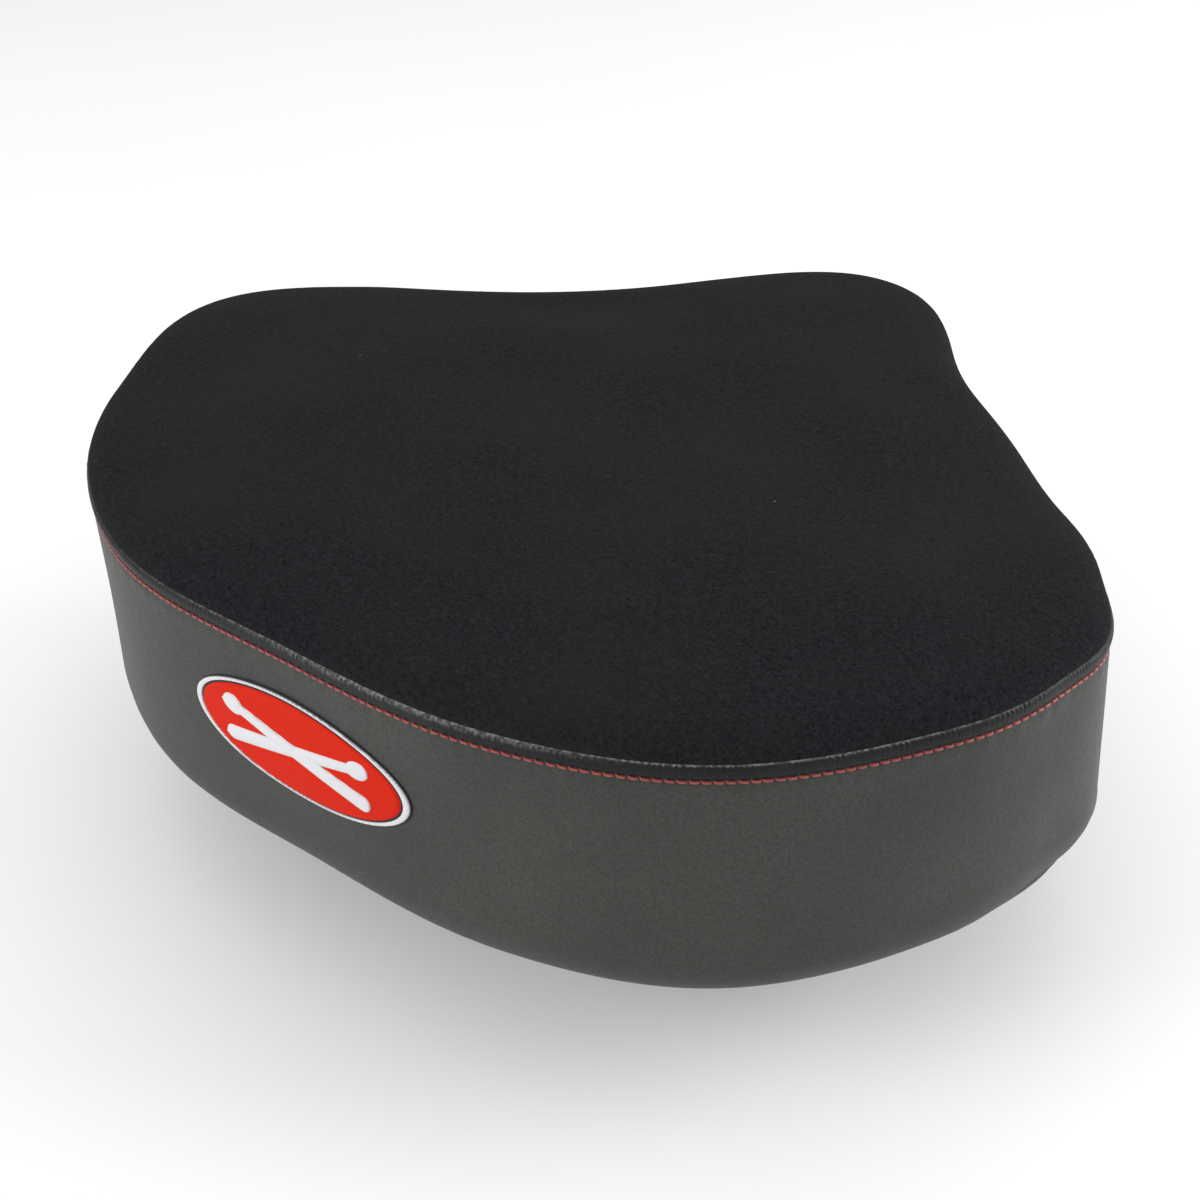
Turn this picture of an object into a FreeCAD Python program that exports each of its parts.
import FreeCAD, Part
import math
import os

# Drum throne seat: a saddle cushion on a plywood board, with a clamp bracket for the post.
# Millimetres, +Z up. The origin is the centre of the post socket's mouth, under the seat.
# +Y points to the narrow nose, between the player's legs. The wide rear edge is at -Y.

# ---- seat outline, taken at the seam round the top -------------------------------------
SEAT_WIDTH = 430.0
SEAT_CENTRE_Y = 20.0       # middle of the outline, ahead of the post
# Right half of the outline, from the nose to the middle of the rear, about the seat's centre.
NOSE = [(0, 183), (18, 179.5), (36, 168), (60, 140)]
FLANK = [(81, 114), (103, 94), (126, 75)]
LOBE = [(155, 52), (194, 22), (SEAT_WIDTH / 2, -20), (206, -64)]
REAR = [(185, -104), (156, -138), (120, -163), (80, -178), (0, -183)]

# ---- cushion heights, above the underside of the turned-under vinyl --------------------
SEAT_THICKNESS = 98.0      # up to the seam, at the outline's centre
TOP_SLOPE = math.radians(2.2)   # the top falls towards the nose
BOTTOM_ROUND = 23.0        # how far the wall rolls in under the seat
CROWN_HEIGHT = 9.0         # the top panel above its seam
CROWN_REACH = 26.0         # inset over which the top panel rounds over

# ---- layers ----------------------------------------------------------------------------
VINYL = 1.2
VELOUR = 2.0
CLOTH = 0.8                # dust cover
EASE = 0.2                 # air between foam and skins
WALL_SET_BACK = 0.8        # the side wall lies this far inside the roll
ROLL_HEIGHT = 6.4
ROLL_DEPTH = 2.0
STITCH_DROP = 7.2          # the stitch line below the seam
STITCH_HEIGHT = 1.2
STITCH_DEPTH = 0.7
FOAM_SPLIT = 0.66          # share of the thickness where the firm block ends

BOARD_THICKNESS = 12.0
BOARD_INSET = 24.0
VENT_RADIUS = 8.0
VENT_SPREAD = (95.0, 62.0)  # half the spacing of the four vents, across and along
VENT_CENTRE_Y = -15.0
TURN_UNDER_INSET = 37.0    # inner edge of the vinyl under the board
CLOTH_INSET = 27.0
STAPLE_INSET = 32.0
STAPLE_COUNT = 44
STAPLE_WIDTH = 10.0
STAPLE_LEG = 8.0
STAPLE_WIRE = 0.9

# ---- badge on the rear wall ------------------------------------------------------------
BADGE_LENGTH = 101.0
BADGE_HEIGHT = 40.0
BADGE_CENTRE_X = 4.5       # it is sewn on a little to the right
BADGE_BORDER = (2.6, 0.9)  # width of the border, at the oval's ends and at its sides
BADGE_GAP = 0.5            # of backing that shows between the border and the field
BADGE_RIM = 0.7            # of backing that shows outside the border
BADGE_BACKING_TOP = 0.5    # heights above the wall
BADGE_FIELD_TOP = 1.1
BADGE_BORDER_TOP = 1.7
BADGE_Z_SHARE = 0.60       # centre of the badge, as a share of the wall's height
STICK_LENGTH = 70.0
STICK_BUTT = 6.6           # width at the butt
STICK_NECK = 4.0           # width behind the tip
STICK_TIP_RADIUS = 3.8
STICK_TILT = 12.0          # degrees from the oval's long axis
BADGE_PRISM_Y = -80.0      # the badge's outlines are cut from the wall's skin as prisms
BADGE_PRISM_LENGTH = 200.0

# ---- post bracket ----------------------------------------------------------------------
SOCKET_RADIUS = 11.2       # for a 22.2 mm post
SOCKET_DEPTH = 48.0
SLEEVE_RADIUS = 17.5
SLEEVE_BITE = 2.0          # webs and lugs start this far outside the bore
HALF_GAP = 1.0             # each half of the socket stops this far from the parting plane
FLANGE_SIDE = 92.0
FLANGE_THICKNESS = 5.0
FLANGE_CORNER = 14.0
BOLT_SPACING = 70.0
MOUNT_HOLE_RADIUS = 3.3
MOUNT_BOLT_RADIUS = 3.0
MOUNT_HEAD_RADIUS = 5.6
MOUNT_HEAD_HEIGHT = 3.6
MOUNT_HEAD_ROUND = 2.0
MOUNT_KEY_FLATS = 4.0
MOUNT_KEY_DEPTH = 2.0
MOUNT_WASHER = (7.0, 1.2)  # radius, thickness
TEE_BARREL_RADIUS = 4.2
TEE_BARREL_LENGTH = 9.0
TEE_FLANGE_RADIUS = 9.5
TEE_FLANGE_THICKNESS = 1.3
PRONG = (1.6, 1.0, 5.0)    # width, thickness, length
PRONG_REACH = 7.6

HINGE_X = -24.0
HINGE_PIN_RADIUS = 2.5
HINGE_RUNNING = 0.05
PIN_HEAD_RADIUS = 4.5
PIN_HEAD_HEIGHT = 1.8
PIN_HEAD_ROUND = 1.0
PIN_PROUD = 1.0            # of the pin above the top knuckle
KNUCKLE_RADIUS = 6.0
KNUCKLES = ((3.0, 14.0), (34.0, 45.0))   # z spans of the fixed knuckles
KNUCKLE_GAP = 0.3
JAW_SPAN = (8.0, 40.0)     # z span of the jaw's sleeve
LUG_SPAN = (13.0, 33.0)    # z span of both bolt lugs
LUG_END_X = 37.0
LUG_THICKNESS = 10.0
LUG_CORNER = 6.0
RIB_ANGLES = (30, 90, 150)
RIB_THICKNESS = 4.0
RIB_REACH = 40.0           # from the socket's axis, along the flange
RIB_DROP = 24.0            # down the sleeve, from the flange
RIB_TOE = 2.0              # height of the rib at its outer end

CLAMP_X = 27.0
CLAMP_Z = 23.0
CLAMP_RADIUS = 4.0
CLAMP_HOLE_FIXED = 4.3
CLAMP_HOLE_JAW = 5.0
CLAMP_HEAD_FLATS = 13.0
CLAMP_HEAD_HEIGHT = 5.3
CLAMP_POCKET = 2.5         # how deep the bolt's head sits in its hexagonal pocket
CLAMP_POCKET_EASE = 0.4
CLAMP_TIP_CHAMFER = 0.8
CLAMP_END_Y = -35.0
FACE_GAP = 0.1             # between the jaw, the washer and the nut
CLAMP_WASHER = (9.0, 1.6)  # radius, thickness
CLAMP_WASHER_EASE = 0.3
NUT_HUB_RADIUS = 7.5
NUT_LENGTH = 12.0
NUT_BORE = 4.05
NUT_TAPER = 1.5            # off the hub's radius, at its outer end
WING_THICKNESS = 4.0
WING_START = 6.5           # along the nut, from its face on the washer
# One wing's corners: from the nut's axis, and back from where the wings start.
WING_PROFILE = [(3, 0), (11, 1), (16.5, 2.5), (18, 6.5), (15, 8), (10, 7), (3, 5)]

# ---- derived places --------------------------------------------------------------------
FLANGE_TOP = SOCKET_DEPTH + FLANGE_THICKNESS
BOARD_BOTTOM = FLANGE_TOP + CLOTH
SEAT_BOTTOM = BOARD_BOTTOM - VINYL
BOARD_TOP = BOARD_BOTTOM + BOARD_THICKNESS
CLAMP_SEAT_Y = HALF_GAP + LUG_THICKNESS - CLAMP_POCKET
JAW_FACE_Y = -HALF_GAP - LUG_THICKNESS
WASHER_FACE_Y = JAW_FACE_Y - FACE_GAP
NUT_FACE_Y = WASHER_FACE_Y - CLAMP_WASHER[1] - FACE_GAP
OUTLINE_SAMPLES = 72
CORNER_SIGNS = ((1, 1), (1, -1), (-1, 1), (-1, -1))
BOLT_CORNERS = [(sx * BOLT_SPACING / 2, sy * BOLT_SPACING / 2) for sx, sy in CORNER_SIGNS]


def vec(x, y, z):
    return FreeCAD.Vector(x, y, z)


UP = vec(0, 0, 1)
REARWARD = vec(0, -1, 0)


def outline_curve():
    """Closed smooth curve through the outline's points, mirrored about the Y axis."""
    right = NOSE + FLANK + LOBE + REAR
    left = [(-x, y) for x, y in reversed(right[1:-1])]
    curve = Part.BSplineCurve()
    points = [vec(x, y + SEAT_CENTRE_Y, 0) for x, y in right + left]
    curve.interpolate(Points=points, PeriodicFlag=True)
    return curve


def outline_frames(count):
    """Evenly spread (point, outward normal) pairs round the outline."""
    curve = outline_curve()
    frames = []
    for distance in curve.discretize(Number=count + 1)[:-1]:
        along = curve.tangent(curve.parameter(distance))[0]
        normal = vec(-along.y, along.x, 0)
        frames.append((distance, normal))
    return frames


FRAMES = outline_frames(OUTLINE_SAMPLES)


def wall_height(share, y):
    """Height at a share of the wall's full height, which slopes down to the nose."""
    return share * (SEAT_THICKNESS - (y - SEAT_CENTRE_Y) * math.tan(TOP_SLOPE))


def section(inset, share, lift=0.0):
    """Closed wire inside the outline, at a share of the wall's height plus a lift."""
    points = []
    for place, normal in FRAMES:
        spot = place - normal * inset
        height = SEAT_BOTTOM + wall_height(share, spot.y) + lift
        points.append(vec(spot.x, spot.y, height))
    curve = Part.BSplineCurve()
    curve.interpolate(Points=points, PeriodicFlag=True)
    return Part.Wire([curve.toShape()])


def loft(wires):
    return Part.makeLoft(wires, True, True)


def slab(inset, bottom, top):
    """Flat plate with the outline's shape, between two heights."""
    wire = section(inset, 0.0)
    face = Part.Face(wire)
    face.translate(vec(0, 0, bottom - SEAT_BOTTOM))
    return face.extrude(vec(0, 0, top - bottom))


def band(outer, inner, drop_top, drop_bottom):
    """Ring round the top edge, between two drops below the seam."""
    shell = loft([section(outer, 1.0, -drop_bottom), section(outer, 1.0, -drop_top)])
    core = loft([section(inner, 1.0, -drop_bottom - 1.0), section(inner, 1.0, -drop_top + 1.0)])
    return shell.cut(core)


def rolled_body(skin, top_share, top_lift=0.0):
    """Cushion volume with its rounded lower edge, lying a skin's thickness inside the wall."""
    inset = WALL_SET_BACK + skin
    radius = BOTTOM_ROUND - skin
    wires = []
    for step in range(5):
        angle = math.radians(22.5 * step)
        rise = skin + radius * (1.0 - math.cos(angle))
        side = inset + radius * (1.0 - math.sin(angle))
        wires.append(section(side, 0.0, rise))
    wires.append(section(inset, top_share, top_lift))
    return loft(wires)


def crown_body(skin, start):
    """Top of the cushion, from a plane near the seam to its gently rounded top."""
    wires = [section(WALL_SET_BACK + skin, 1.0, start)]
    reach = CROWN_REACH - skin
    rise = CROWN_HEIGHT - skin
    for step in range(5):
        angle = math.radians(22.5 * step)
        side = WALL_SET_BACK + skin + reach * (1.0 - math.cos(angle))
        wires.append(section(side, 1.0, 0.05 + rise * math.sin(angle)))
    return loft(wires)


def seat_board():
    board = slab(BOARD_INSET, BOARD_BOTTOM, BOARD_TOP)
    depth = BOARD_THICKNESS + 2
    for x, y in BOLT_CORNERS:
        barrel = Part.makeCylinder(TEE_BARREL_RADIUS, depth, vec(x, y, BOARD_BOTTOM - 1))
        seat = Part.makeCylinder(TEE_FLANGE_RADIUS, 5, vec(x, y, BOARD_TOP - TEE_FLANGE_THICKNESS))
        board = board.cut(barrel).cut(seat)
    for sx, sy in CORNER_SIGNS:
        place = vec(sx * VENT_SPREAD[0], VENT_CENTRE_Y + sy * VENT_SPREAD[1], BOARD_BOTTOM - 1)
        board = board.cut(Part.makeCylinder(VENT_RADIUS, depth, place))
    return board


def foam_base():
    block = rolled_body(VINYL + EASE, FOAM_SPLIT)
    room = slab(BOARD_INSET, SEAT_BOTTOM - 5, BOARD_TOP)
    return block.cut(room)


def foam_top():
    skin = VINYL + EASE
    lower = loft([section(WALL_SET_BACK + skin, FOAM_SPLIT), section(WALL_SET_BACK + skin, 1.0, -1.0)])
    return lower.fuse(crown_body(VELOUR + EASE, -1.0)).removeSplitter()


def side_cover():
    outer = rolled_body(0.0, 1.0, -ROLL_HEIGHT)
    inner = rolled_body(VINYL, 1.0, 2.0)
    hole = slab(TURN_UNDER_INSET, SEAT_BOTTOM - 1, BOARD_TOP)
    return outer.cut(inner).cut(hole)


def top_cover():
    outer = crown_body(0.0, 0.0)
    inner = crown_body(VELOUR, -3.0)
    return outer.cut(inner)


def edge_roll():
    middle = ROLL_HEIGHT / 2
    bulge = ROLL_DEPTH / 2
    wires = []
    for step in range(7):
        angle = math.radians(30.0 * step)
        wires.append(section(bulge - bulge * math.sin(angle), 1.0, -middle - middle * math.cos(angle)))
    shell = loft(wires)
    core = loft([section(ROLL_DEPTH, 1.0, -ROLL_HEIGHT - 1), section(ROLL_DEPTH, 1.0, 1.0)])
    return shell.cut(core)


def topstitch():
    outer = WALL_SET_BACK - STITCH_DEPTH
    drop = STITCH_DROP - STITCH_HEIGHT / 2
    return band(outer, WALL_SET_BACK, drop, drop + STITCH_HEIGHT)


def dust_cover():
    over_vinyl = slab(CLOTH_INSET, SEAT_BOTTOM - CLOTH, BOARD_BOTTOM)
    vinyl_room = slab(CLOTH_INSET - 1, SEAT_BOTTOM, BOARD_BOTTOM + 1)
    inside = slab(TURN_UNDER_INSET, SEAT_BOTTOM, BOARD_BOTTOM)
    hollow = slab(TURN_UNDER_INSET + CLOTH, SEAT_BOTTOM - 2, BOARD_BOTTOM - CLOTH)
    cloth = over_vinyl.cut(vinyl_room).fuse(inside).cut(hollow).removeSplitter()
    for x, y in BOLT_CORNERS:
        cloth = cloth.cut(Part.makeCylinder(MOUNT_HOLE_RADIUS, 9, vec(x, y, SEAT_BOTTOM - 4)))
    return cloth


def staples():
    """Staples at even steps along a line inside the outline, their legs in the board."""
    half = STAPLE_WIDTH / 2
    crown_z = SEAT_BOTTOM - CLOTH - STAPLE_WIRE
    line = section(STAPLE_INSET, 0.0).Edges[0].Curve
    solids = []
    for spot in line.discretize(Number=STAPLE_COUNT + 1)[:-1]:
        along = line.tangent(line.parameter(spot))[0]
        crown = Part.makeBox(STAPLE_WIDTH, STAPLE_WIRE, STAPLE_WIRE, vec(-half, -STAPLE_WIRE / 2, 0))
        staple = crown
        for x in (-half, half - STAPLE_WIRE):
            leg = Part.makeBox(STAPLE_WIRE, STAPLE_WIRE, STAPLE_LEG, vec(x, -STAPLE_WIRE / 2, 0))
            staple = staple.fuse(leg)
        staple = staple.removeSplitter()
        turn = math.degrees(math.atan2(along.y, along.x))
        staple.Placement = FreeCAD.Placement(vec(spot.x, spot.y, crown_z), FreeCAD.Rotation(UP, turn))
        solids.append(staple)
    return Part.makeCompound(solids)


def badge_centre_z():
    rear_y = min(place.y for place, normal in FRAMES)
    return SEAT_BOTTOM + wall_height(BADGE_Z_SHARE, rear_y)


def oval(length, height):
    """Elliptical prism through the rear wall."""
    curve = Part.Ellipse(vec(0, 0, 0), length / 2, height / 2)
    face = Part.Face(Part.Wire([curve.toShape()]))
    face.rotate(vec(0, 0, 0), vec(1, 0, 0), 90)
    face.translate(vec(BADGE_CENTRE_X, BADGE_PRISM_Y, badge_centre_z()))
    return face.extrude(vec(0, -BADGE_PRISM_LENGTH, 0))


def wall_skin(low, high):
    """Thin layer on the outside of the wall, between two heights above it."""
    outer = loft([section(WALL_SET_BACK - high, 0.15), section(WALL_SET_BACK - high, 1.0)])
    inner = loft([section(WALL_SET_BACK - low, 0.1), section(WALL_SET_BACK - low, 1.1)])
    return outer.cut(inner)


def badge_ring(inset):
    """Elliptical prism, smaller than the badge's outer edge by an inset at its ends and sides."""
    return oval(BADGE_LENGTH - 2 * inset[0], BADGE_HEIGHT - 2 * inset[1])


def badge_backing():
    backing = badge_ring((-BADGE_RIM, -BADGE_RIM))
    return backing.common(wall_skin(0.0, BADGE_BACKING_TOP))


def badge_border():
    ring = badge_ring((0.0, 0.0)).cut(badge_ring(BADGE_BORDER))
    return ring.common(wall_skin(BADGE_BACKING_TOP, BADGE_BORDER_TOP))


def badge_field():
    field = badge_ring((BADGE_BORDER[0] + BADGE_GAP, BADGE_BORDER[1] + BADGE_GAP))
    return field.common(wall_skin(BADGE_BACKING_TOP, BADGE_FIELD_TOP))


def drum_stick(turn):
    """Prism with a drum stick's outline, through the rear wall, tilted about the badge's centre."""
    butt = -STICK_LENGTH / 2
    neck = STICK_LENGTH / 2 - STICK_TIP_RADIUS
    corners = [(butt, -STICK_BUTT / 2), (neck, -STICK_NECK / 2), (neck, STICK_NECK / 2)]
    corners += [(butt, STICK_BUTT / 2), (butt, -STICK_BUTT / 2)]
    outline = Part.makePolygon([vec(x, BADGE_PRISM_Y, z) for x, z in corners])
    stick = Part.Face(outline).extrude(vec(0, -BADGE_PRISM_LENGTH, 0))
    tip_centre = vec(neck, BADGE_PRISM_Y, 0)
    tip = Part.makeCylinder(STICK_TIP_RADIUS, BADGE_PRISM_LENGTH, tip_centre, REARWARD)
    stick = stick.fuse(tip)
    stick.rotate(vec(0, 0, 0), REARWARD, turn)
    return stick


def badge_emblem():
    """Two crossed drum sticks, raised on the field."""
    cross = drum_stick(STICK_TILT).fuse(drum_stick(180.0 - STICK_TILT))
    cross.translate(vec(BADGE_CENTRE_X, 0, badge_centre_z()))
    skin = wall_skin(BADGE_FIELD_TOP, BADGE_BORDER_TOP)
    return cross.removeSplitter().common(skin)


def tee_nuts():
    """Barrel, flange and four prongs driven into the top of the board, at each bolt."""
    width, thickness, length = PRONG
    disc_z = BOARD_TOP - TEE_FLANGE_THICKNESS
    barrel_z = BOARD_TOP - TEE_BARREL_LENGTH
    solids = []
    for x, y in BOLT_CORNERS:
        barrel = Part.makeCylinder(TEE_BARREL_RADIUS, TEE_BARREL_LENGTH, vec(x, y, barrel_z))
        disc = Part.makeCylinder(TEE_FLANGE_RADIUS, TEE_FLANGE_THICKNESS, vec(x, y, disc_z))
        nut = barrel.fuse(disc)
        for turn in (45, 135, 225, 315):
            prong = Part.makeBox(thickness, width, length + 0.5)
            prong.translate(vec(PRONG_REACH, -width / 2, disc_z - length))
            prong.rotate(vec(0, 0, 0), UP, turn)
            prong.translate(vec(x, y, 0))
            nut = nut.fuse(prong)
        bore = Part.makeCylinder(MOUNT_BOLT_RADIUS, 30, vec(x, y, BOARD_TOP - 20))
        solids.append(nut.cut(bore).removeSplitter())
    return Part.makeCompound(solids)


def mount_washers():
    radius, thickness = MOUNT_WASHER
    solids = []
    for x, y in BOLT_CORNERS:
        base = vec(x, y, SOCKET_DEPTH - thickness)
        disc = Part.makeCylinder(radius, thickness, base)
        solids.append(disc.cut(Part.makeCylinder(MOUNT_HOLE_RADIUS, thickness, base)))
    return Part.makeCompound(solids)


def mount_bolts():
    """Button-head bolts that come up through the flange into the tee nuts."""
    top = BOARD_TOP - 1.0
    head_top = SOCKET_DEPTH - MOUNT_WASHER[1]
    solids = []
    for x, y in BOLT_CORNERS:
        base = vec(x, y, head_top - MOUNT_HEAD_HEIGHT)
        head = Part.makeCylinder(MOUNT_HEAD_RADIUS, MOUNT_HEAD_HEIGHT, base)
        lower_rim = [edge for edge in head.Edges if edge.BoundBox.ZMax < base.z + 0.01]
        head = head.makeFillet(MOUNT_HEAD_ROUND, lower_rim)
        shank = Part.makeCylinder(MOUNT_BOLT_RADIUS, top - head_top, vec(x, y, head_top))
        key = hexagon(MOUNT_KEY_FLATS, MOUNT_KEY_DEPTH)
        key.translate(base)
        solids.append(head.fuse(shank).cut(key))
    return Part.makeCompound(solids)


def hexagon(flats, height):
    """Hexagonal prism standing on the XY plane."""
    radius = flats / math.sqrt(3.0)
    turns = [math.radians(60 * corner) for corner in range(7)]
    points = [vec(radius * math.cos(turn), radius * math.sin(turn), 0) for turn in turns]
    return Part.Face(Part.makePolygon(points)).extrude(vec(0, 0, height))


def half_sleeve(side, bottom, top):
    """Half of the socket's wall: side +1 is ahead of the parting plane, -1 is behind it."""
    ring = Part.makeCylinder(SLEEVE_RADIUS, top - bottom, vec(0, 0, bottom))
    ring = ring.cut(Part.makeCylinder(SOCKET_RADIUS, top - bottom, vec(0, 0, bottom)))
    reach = 2 * SLEEVE_RADIUS
    keep_y = HALF_GAP if side > 0 else -reach - HALF_GAP
    keep = Part.makeBox(2 * reach, reach, top - bottom, vec(-reach, keep_y, bottom))
    return ring.common(keep)


def hinge_part(side, bottom, top):
    """A knuckle round the hinge pin and the web that joins it to its half of the sleeve."""
    knuckle = Part.makeCylinder(KNUCKLE_RADIUS, top - bottom, vec(HINGE_X, 0, bottom))
    depth = KNUCKLE_RADIUS - HALF_GAP
    length = -HINGE_X - SOCKET_RADIUS - SLEEVE_BITE
    web_y = HALF_GAP if side > 0 else -KNUCKLE_RADIUS
    web = Part.makeBox(length, depth, top - bottom, vec(HINGE_X, web_y, bottom))
    return knuckle.fuse(web)


def bolt_lug(side):
    low, high = LUG_SPAN
    start_x = SOCKET_RADIUS + SLEEVE_BITE
    lug_y = HALF_GAP if side > 0 else -HALF_GAP - LUG_THICKNESS
    lug = Part.makeBox(LUG_END_X - start_x, LUG_THICKNESS, high - low, vec(start_x, lug_y, low))
    ends = [edge for edge in lug.Edges
            if edge.BoundBox.XMin > LUG_END_X - 0.01 and edge.BoundBox.ZLength < 0.01]
    return lug.makeFillet(LUG_CORNER, ends)


def flange():
    half = FLANGE_SIDE / 2
    plate = Part.makeBox(FLANGE_SIDE, FLANGE_SIDE, FLANGE_THICKNESS, vec(-half, -half, SOCKET_DEPTH))
    plate = plate.makeFillet(FLANGE_CORNER, [edge for edge in plate.Edges if edge.BoundBox.ZLength > 1])
    for x, y in BOLT_CORNERS:
        plate = plate.cut(Part.makeCylinder(MOUNT_HOLE_RADIUS, 20, vec(x, y, SOCKET_DEPTH - 5)))
    return plate


def rib(angle):
    """Triangular web between the sleeve and the flange."""
    inner = SLEEVE_RADIUS - 1.5
    side = -RIB_THICKNESS / 2
    low = SOCKET_DEPTH - RIB_DROP
    top = SOCKET_DEPTH + 1.0
    toe = SOCKET_DEPTH - RIB_TOE
    points = [vec(inner, side, low), vec(inner, side, top), vec(RIB_REACH, side, top)]
    points += [vec(RIB_REACH, side, toe), vec(inner, side, low)]
    web = Part.Face(Part.makePolygon(points)).extrude(vec(0, RIB_THICKNESS, 0))
    web.rotate(vec(0, 0, 0), UP, angle)
    return web


def post_receiver():
    body = flange().fuse(half_sleeve(1, 0.0, SOCKET_DEPTH))
    for low, high in KNUCKLES:
        body = body.fuse(hinge_part(1, low, high))
    body = body.fuse(bolt_lug(1))
    for angle in RIB_ANGLES:
        body = body.fuse(rib(angle))
    body = body.removeSplitter()
    pin = Part.makeCylinder(HINGE_PIN_RADIUS, SOCKET_DEPTH, vec(HINGE_X, 0, -1))
    hole = Part.makeCylinder(CLAMP_HOLE_FIXED, 40, vec(CLAMP_X, 30, CLAMP_Z), REARWARD)
    pocket = clamp_head(CLAMP_HEAD_FLATS + CLAMP_POCKET_EASE, CLAMP_SEAT_Y, 20)
    return body.cut(pin).cut(hole).cut(pocket)


def clamp_head(flats, start_y, length):
    """Hexagonal prism along the clamp bolt's axis."""
    head = hexagon(flats, length)
    head.rotate(vec(0, 0, 0), vec(1, 0, 0), -90)
    head.translate(vec(CLAMP_X, start_y, CLAMP_Z))
    return head


def clamp_jaw():
    low, high = JAW_SPAN
    body = half_sleeve(-1, low, high)
    knuckle_low = KNUCKLES[0][1] + KNUCKLE_GAP
    knuckle_high = KNUCKLES[1][0] - KNUCKLE_GAP
    body = body.fuse(hinge_part(-1, knuckle_low, knuckle_high))
    body = body.fuse(bolt_lug(-1)).removeSplitter()
    pin = Part.makeCylinder(HINGE_PIN_RADIUS + HINGE_RUNNING, SOCKET_DEPTH, vec(HINGE_X, 0, 0))
    hole = Part.makeCylinder(CLAMP_HOLE_JAW, 40, vec(CLAMP_X, 10, CLAMP_Z), REARWARD)
    return body.cut(pin).cut(hole)


def jaw_pin():
    """Headed pin, driven up through the knuckles."""
    head_top = KNUCKLES[0][0]
    head_bottom = head_top - PIN_HEAD_HEIGHT
    shank_length = KNUCKLES[1][1] + PIN_PROUD - head_bottom
    shank = Part.makeCylinder(HINGE_PIN_RADIUS, shank_length, vec(HINGE_X, 0, head_bottom))
    head = Part.makeCylinder(PIN_HEAD_RADIUS, PIN_HEAD_HEIGHT, vec(HINGE_X, 0, head_bottom))
    lower_rim = [edge for edge in head.Edges if edge.BoundBox.ZMax < head_bottom + 0.01]
    head = head.makeFillet(PIN_HEAD_ROUND, lower_rim)
    return head.fuse(shank).removeSplitter()


def clamp_bolt():
    head = clamp_head(CLAMP_HEAD_FLATS, CLAMP_SEAT_Y, CLAMP_HEAD_HEIGHT)
    start = vec(CLAMP_X, CLAMP_SEAT_Y, CLAMP_Z)
    shank = Part.makeCylinder(CLAMP_RADIUS, CLAMP_SEAT_Y - CLAMP_END_Y, start, REARWARD)
    tip = [edge for edge in shank.Edges if edge.BoundBox.YMax < CLAMP_END_Y + 0.01]
    shank = shank.makeChamfer(CLAMP_TIP_CHAMFER, tip)
    return head.fuse(shank).removeSplitter()


def clamp_washer():
    radius, thickness = CLAMP_WASHER
    start = vec(CLAMP_X, WASHER_FACE_Y, CLAMP_Z)
    disc = Part.makeCylinder(radius, thickness, start, REARWARD)
    return disc.cut(Part.makeCylinder(CLAMP_RADIUS + CLAMP_WASHER_EASE, thickness, start, REARWARD))


def wing_nut():
    """Hub with two wings that flare back from it."""
    start = vec(CLAMP_X, NUT_FACE_Y, CLAMP_Z)
    nut = Part.makeCone(NUT_HUB_RADIUS, NUT_HUB_RADIUS - NUT_TAPER, NUT_LENGTH, start, REARWARD)
    corners = [vec(x, -back, 0) for x, back in WING_PROFILE]
    wing_foot = vec(CLAMP_X, NUT_FACE_Y - WING_START, CLAMP_Z)
    for turn in (0, 180):
        wing = Part.Face(Part.makePolygon(corners + corners[:1])).extrude(vec(0, 0, WING_THICKNESS))
        wing.translate(vec(0, 0, -WING_THICKNESS / 2))
        wing.rotate(vec(0, 0, 0), vec(0, 1, 0), turn)
        wing.translate(wing_foot)
        nut = nut.fuse(wing)
    bore = Part.makeCylinder(NUT_BORE, NUT_LENGTH + 2, vec(CLAMP_X, NUT_FACE_Y + 1, CLAMP_Z), REARWARD)
    return nut.cut(bore).removeSplitter()


NODES = [seat_board, foam_base, foam_top, side_cover, top_cover, edge_roll, topstitch,
         badge_backing, badge_border, badge_field, badge_emblem, dust_cover, staples, tee_nuts,
         mount_washers, mount_bolts, post_receiver, clamp_jaw, jaw_pin, clamp_bolt,
         clamp_washer, wing_nut]

os.makedirs("parts", exist_ok=True)
for make in NODES:
    shape = make()
    shape.exportStep("parts/" + make.__name__ + ".step")
    print(make.__name__, len(shape.Solids), "solids", round(shape.Volume / 1000.0, 2), "cm3",
          "valid" if shape.isValid() else "INVALID")
